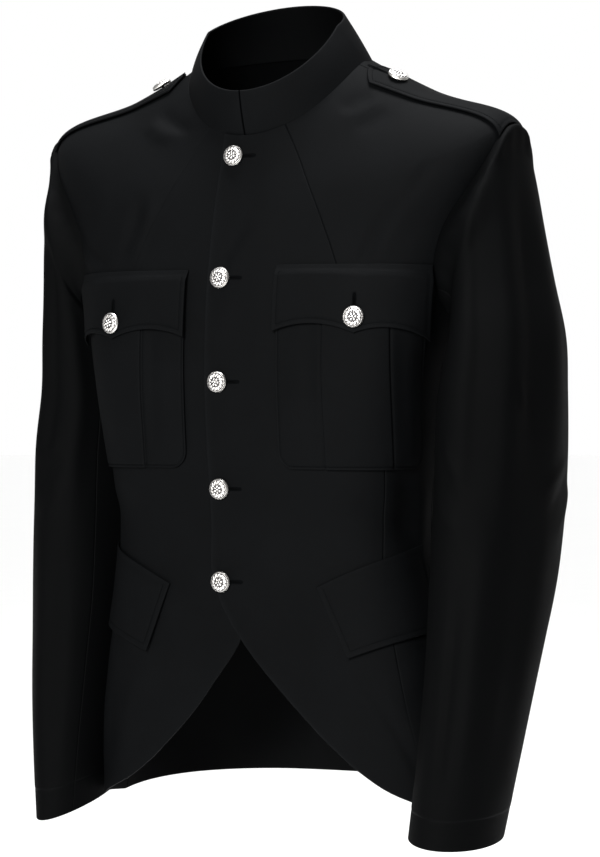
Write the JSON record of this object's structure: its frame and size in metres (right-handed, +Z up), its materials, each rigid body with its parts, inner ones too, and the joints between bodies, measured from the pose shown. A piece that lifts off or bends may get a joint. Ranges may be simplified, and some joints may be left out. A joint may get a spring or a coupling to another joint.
{
  "type": "military tunic",
  "caption": "Black waisted military tunic with a stand collar, shoulder straps, pleated chest pockets, slanted hip flaps, silver domed buttons and a cutaway skirt, hollow as worn",
  "frame": {"origin": "in the neck opening, midway between the shoulders and level with the sides of the neck seam, where the wearer carries the tunic", "axes": "+Z up, the front faces -Y, +X is the wearer's left"},
  "size_m": [0.5333, 0.2389, 0.7482],
  "materials": {
    "black_cloth": "matt worsted wool",
    "silver": "polished, stamped relief"
  },
  "bodies": {
    "root": {"left_front": "black_cloth", "right_front": "black_cloth", "back": "black_cloth", "collar": "black_cloth", "left_top_sleeve": "black_cloth", "left_under_sleeve": "black_cloth", "right_top_sleeve": "black_cloth", "right_under_sleeve": "black_cloth", "left_chest_pocket": "black_cloth", "right_chest_pocket": "black_cloth", "left_chest_flap": "black_cloth", "right_chest_flap": "black_cloth", "left_hip_flap": "black_cloth", "right_hip_flap": "black_cloth", "left_shoulder_strap": "black_cloth", "right_shoulder_strap": "black_cloth", "front_button_1": "silver", "front_button_2": "silver", "front_button_3": "silver", "front_button_4": "silver", "front_button_5": "silver", "left_flap_button": "silver", "right_flap_button": "silver", "left_strap_button": "silver", "right_strap_button": "silver"}
  },
  "joints": []
}
